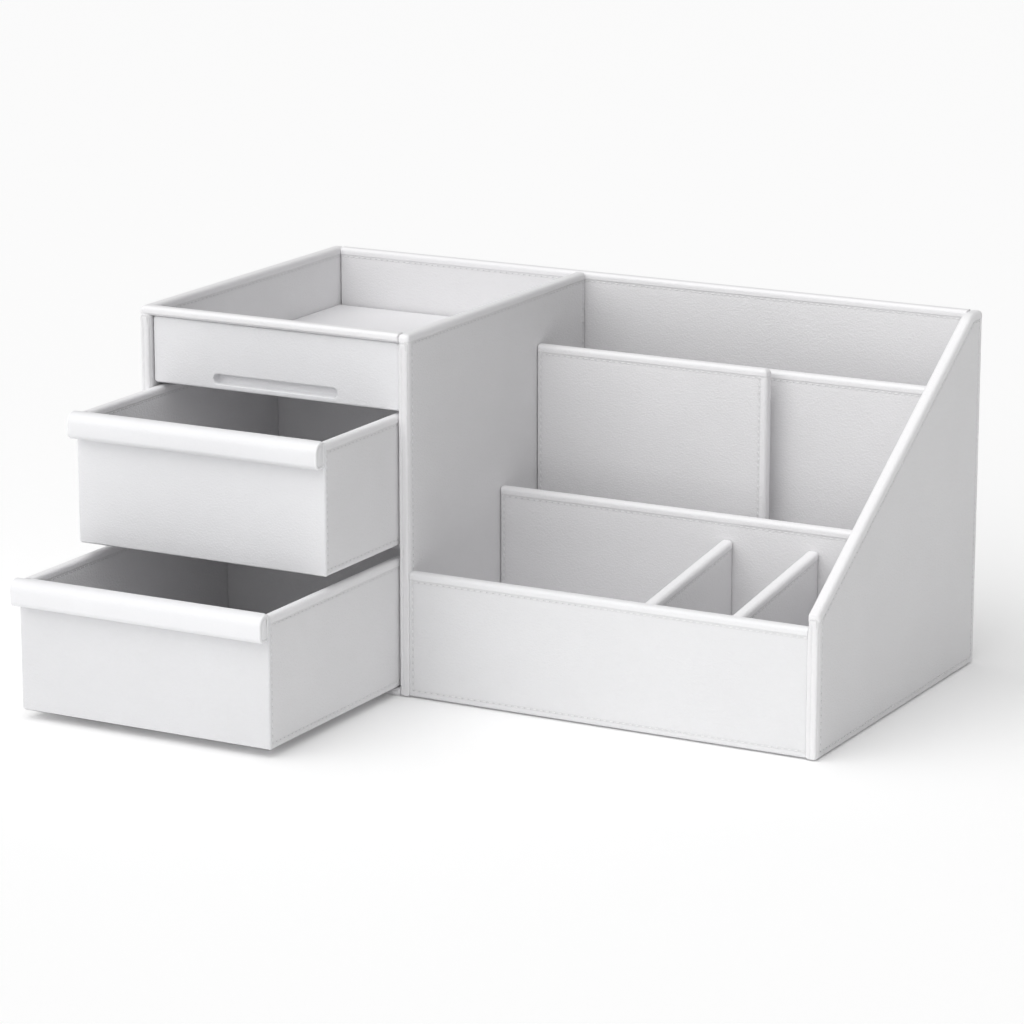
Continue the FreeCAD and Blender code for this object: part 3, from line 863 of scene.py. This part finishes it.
def extruded(name, shape, to_row, start, end, rounds, cap_steps=((0.3 * MM, 0.0),), seed=0.0):
    """A closed bar: an outline run from start to end with both of its ends rounded.

    cap_steps are the rings of each flat end, as how far they lie inside its rounding and how deep.
    """
    arc = arc_angles(0, 18, 36, 54, 72, 90)
    length = end - start - sum(rounds)
    stations = [(start + rounds[0] * (1 - math.sin(a)), rounds[0] * (1 - math.cos(a)))
                for a in reversed(arc)]
    inner = max(1, round(length / POINT_PITCH))
    stations += [(start + rounds[0] + length * k / inner, 0.0) for k in range(1, inner)]
    stations += [(end - rounds[1] * (1 - math.sin(a)), rounds[1] * (1 - math.cos(a))) for a in arc]
    for inset, depth in cap_steps:
        stations.insert(0, (start + depth, rounds[0] + inset))
        stations.append((end - depth, rounds[1] + inset))
    vertices, faces, rim = [], [], []
    for along, inset in stations:
        points, outward = rounded_outline(inset=inset, **shape)
        for point, way in zip(points, outward):
            if inset == 0.0:
                spot = (along * WAVE_SCALE + seed, point.x * WAVE_SCALE, point.y * WAVE_SCALE)
                point = point + way * (WAVE * noise.noise(Vector(spot)))
            vertices.append(to_row(along, point.x, point.y))
            # Painted highlight on the rings of both flat ends.
            rim.append(1.0 if inset > 0 else 0.0)
    count = len(points)
    for j in range(len(stations) - 1):
        for i in range(count):
            a, b = j * count + i, j * count + (i + 1) % count
            faces.append((a, b, b + count, a + count))
    faces.append(tuple(range(count)))
    faces.append(tuple(reversed(range((len(stations) - 1) * count, len(stations) * count))))
    return new_object(name, vertices, faces, {"painted_edge_highlight": rim, "painted_crease_shade": [0.0] * len(rim)})


FRONT_ROUNDS = (1.1 * MM, 1.2 * MM)     # lower and upper edge of a drawer's front
MITRE_ROUND = 0.01 * MM                 # corners that lie in the mitre
HIDDEN_ROUND = 0.1 * MM                 # corners inside the drawer's sides
LIP_ROUNDS = (0.9 * MM, 0.9 * MM)       # the two ends of the roll
LIP_TUCK = ((0.5 * MM, 0.0), (0.65 * MM, 0.3 * MM), (0.85 * MM, 0.32 * MM),
            (1.05 * MM, 0.06 * MM), (1.4 * MM, 0.0), (1.7 * MM, 0.0))


def drawer_front(prefix, seed):
    """Front board: its skin turns round both front corners to meet the sides at a mitre."""
    low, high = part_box(prefix + "_front")
    thick = high.y - low.y
    corners = [(low.x + thick, high.y), (low.x, low.y + CORNER_ROUND), (low.x, low.y),
               (high.x, low.y), (high.x, low.y + CORNER_ROUND), (high.x - thick, high.y)]
    corner = CORNER_ROUND * 0.98
    radii = [HIDDEN_ROUND, MITRE_ROUND, corner, corner, MITRE_ROUND, HIDDEN_ROUND]
    piece = extruded(prefix + "_front_leather", dict(corners=corners, radii=radii),
                     lambda z, x, y: (x, y, z), low.z, high.z, FRONT_ROUNDS, seed=seed)
    stand_for(piece, prefix + "_front", FRONT)


def lip_roll(prefix, seed):
    """Rolled lip: a soft roll, from its back upper edge over the front and under, tucked ends."""
    low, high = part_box(prefix + "_lip")
    back, front, under, top = high.y, low.y, low.z, high.z
    corners = [(back, top - 0.9 * MM), (back - 1.6 * MM, top), (front, top), (front, under),
               (back - 1.7 * MM, under), (back, under + 2.2 * MM)]
    radii = [0.6 * MM, 1.2 * MM, (back - front) * 0.66, 3.1 * MM, 1.5 * MM, 0.3 * MM]
    piece = extruded(prefix + "_lip_roll",
                     dict(corners=corners, radii=radii, pitch=2.5 * MM, turns=10),
                     lambda x, y, z: (x, y, z), low.x, high.x, LIP_ROUNDS, LIP_TUCK, seed)
    stand_for(piece, prefix + "_lip", LIP)


def make_drawer(prefix, seed):
    """A drawer's boards and its rolled lip."""
    drawer_front(prefix, seed)
    lip_roll(prefix, seed + 5)
    outer = ("top", "bottom", "front")
    wrapped_board(prefix + "_left_side_leather", prefix + "_left_side", "x", ("top",), mitre=-1,
                  seams_high=("top",), seams_low=outer, material=BOARD, seed=seed + 1)
    wrapped_board(prefix + "_right_side_leather", prefix + "_right_side", "x", ("top",), mitre=1,
                  seams_high=outer, seams_low=("top",), material=BOARD, seed=seed + 2)
    wrapped_board(prefix + "_back_leather", prefix + "_back", "y", ("top",),
                  seams_high=("top", "bottom"), seams_low=("top",), material=BOARD, seed=seed + 3)
    wrapped_board(prefix + "_bottom_lining", prefix + "_bottom", "z", (), material=LINING,
                  seed=seed + 4)


TRAY_CORNER = 1.7 * MM       # rounding of the tray front's corners
TRAY_BACK_ROUND = 0.5 * MM
TRAY_FACE_ROUND = 1.0 * MM
SLOT_ROUND = 0.6 * MM        # edge of the finger slot
SLOT_RING = 0.3 * MM         # flat ring round that edge


def finger_slot(low, high):
    """Low and high corner of the finger slot and its depth, from the CAD front's own mesh."""
    inside = [v.co for v in frame["nodes"]["tray_front"].data.vertices
              if low.y + 4 * MM < v.co.y < high.y - 1 * MM
              and low.x + 9 * MM < v.co.x < high.x - 9 * MM]
    xs, ys, zs = zip(*inside)
    return (min(xs), min(zs)), (max(xs), max(zs)), max(ys)


def tray_face():
    """Tray front with rounded corners and the finger slot cut into it."""
    low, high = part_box("tray_front")
    (x0, z0), (x1, z1), slot_floor = finger_slot(low, high)
    work = bmesh.new()

    def loop(shape, inset, y):
        points = rounded_outline(inset=inset, **shape)[0]
        return [work.verts.new((point.x, y, point.y)) for point in points]

    def bridge(loops):
        for first, second in zip(loops, loops[1:]):
            for i in range(len(first)):
                j = (i + 1) % len(first)
                work.faces.new((first[i], first[j], second[j], second[i]))

    def rectangle(x0, z0, x1, z1, radius):
        return dict(corners=[(x0, z0), (x1, z0), (x1, z1), (x0, z1)], radii=[radius] * 4)

    arc = arc_angles(0, 22.5, 45, 67.5, 90)
    outer = rectangle(low.x, low.z, high.x, high.z, TRAY_CORNER)
    loops = [loop(outer, 3 * MM, high.y)]
    loops += [loop(outer, TRAY_BACK_ROUND * (1 - math.sin(a)),
                   high.y - TRAY_BACK_ROUND * (1 - math.cos(a))) for a in arc]
    loops += [loop(outer, TRAY_FACE_ROUND * (1 - math.cos(a)),
                   low.y + TRAY_FACE_ROUND * (1 - math.sin(a))) for a in arc]
    loops += [loop(outer, TRAY_FACE_ROUND + 0.5 * MM, low.y)]
    bridge(loops)
    work.faces.new(loops[0])
    grown = SLOT_ROUND + SLOT_RING
    slot = rectangle(x0 - grown, z0 - grown, x1 + grown, z1 + grown,
                     (z1 - z0) / 2 + grown - 0.02 * MM)
    rings = [loop(slot, 0.0, low.y)]
    rings += [loop(slot, SLOT_RING + SLOT_ROUND * math.sin(a),
                   low.y + SLOT_ROUND * (1 - math.cos(a))) for a in arc]
    rings += [loop(slot, grown + inset, slot_floor - depth)
              for inset, depth in ((0, 0.5 * MM), (0.5 * MM, 0), (0.9 * MM, 0))]
    bridge(rings)
    work.faces.new(rings[-1])
    edges = [work.edges.get((ring[i - 1], ring[i]))
             for ring in (loops[-1], rings[0]) for i in range(len(ring))]
    bmesh.ops.triangle_fill(work, use_beauty=True, use_dissolve=False, edges=edges)
    mesh = bpy.data.meshes.new("tray_front_leather")
    work.to_mesh(mesh)
    work.free()
    close_and_turn_out(mesh)
    piece = bpy.data.objects.new("tray_front_leather", mesh)
    bpy.context.scene.collection.objects.link(piece)
    stand_for(piece, "tray_front", FRONT)


def make_tray():
    """The pull-out tray's floor and front."""
    wrapped_board("tray_floor_lining", "tray_floor", "z", (), material=LINING, seed=40)
    tray_face()


# ---- stage

CAMERA_PLACE = Vector((0.9693, -1.8324, 0.5981))
CAMERA_HEADING = -0.4983     # radians from +Y towards +X
CAMERA_DOWN = 0.2456         # radians below level
CAMERA_LENS = 146.8          # on a 36 mm wide sensor
LIGHT_WAY = (-0.24, -0.54, 0.80)     # towards the middle of the light
LIGHT_FOCUS = 2.0            # how quickly the light falls off round that
LIGHT_POWER = 2.03
SURROUND = 0.14              # even light from all round
FLOOR_GLOW = 0.05
FLOOR_TONE = 0.96
FLOOR_REACH = 40.0


def make_camera():
    """Long lens, front right, a little above the organizer."""
    data = bpy.data.cameras.new("camera")
    data.sensor_width = 36.0
    data.lens = CAMERA_LENS
    data.clip_start = 0.05
    data.clip_end = 60.0
    camera = bpy.data.objects.new("camera", data)
    camera.location = CAMERA_PLACE
    camera.rotation_euler = (math.pi / 2 - CAMERA_DOWN, 0.0, -CAMERA_HEADING)
    bpy.context.scene.collection.objects.link(camera)
    bpy.context.scene.camera = camera


def make_floor():
    """Large pale floor."""
    signs = ((-1, -1), (1, -1), (1, 1), (-1, 1))
    corners = [(x * FLOOR_REACH, y * FLOOR_REACH, 0) for x, y in signs]
    mesh = bpy.data.meshes.new("floor")
    mesh.from_pydata(corners, [], [(0, 1, 2, 3)])
    floor = bpy.data.objects.new("floor", mesh)
    bpy.context.scene.collection.objects.link(floor)
    material, _, shader = shader_nodes("floor_paper")
    shader.inputs["Base Color"].default_value = (FLOOR_TONE, FLOOR_TONE, FLOOR_TONE, 1)
    shader.inputs["Emission Color"].default_value = (1, 1, 1, 1)
    shader.inputs["Emission Strength"].default_value = FLOOR_GLOW
    shader.inputs["Roughness"].default_value = 0.9
    shader.inputs["Specular IOR Level"].default_value = 0.1
    mesh.materials.append(material)


def make_light():
    """A broad soft light high on the left front, over an even dim surround."""
    world = bpy.data.worlds.new("studio")
    world.use_nodes = True
    tree = world.node_tree
    link = tree.links.new
    way = add(tree, "ShaderNodeTexCoord")
    facing = add(tree, "ShaderNodeVectorMath", {1: Vector(LIGHT_WAY).normalized()},
                 operation="DOT_PRODUCT")
    above = add(tree, "ShaderNodeMath", {1: 0.0}, operation="MAXIMUM")
    lobe = add(tree, "ShaderNodeMath", {1: LIGHT_FOCUS}, operation="POWER")
    total = add(tree, "ShaderNodeMath", {1: LIGHT_POWER, 2: SURROUND}, operation="MULTIPLY_ADD")
    link(way.outputs["Generated"], facing.inputs[0])
    link(facing.outputs["Value"], above.inputs[0])
    link(above.outputs["Value"], lobe.inputs[0])
    link(lobe.outputs["Value"], total.inputs[0])
    link(total.outputs["Value"], tree.nodes["Background"].inputs["Strength"])
    tree.nodes["Background"].inputs["Color"].default_value = (1, 1, 1, 1)
    bpy.context.scene.world = world
    bpy.context.scene.view_settings.view_transform = "Standard"


make_camera()
make_floor()
make_light()
make_cabinet()
make_dividers()
make_drawer("lower_drawer", 20)
make_drawer("middle_drawer", 30)
make_tray()
sew_everything()
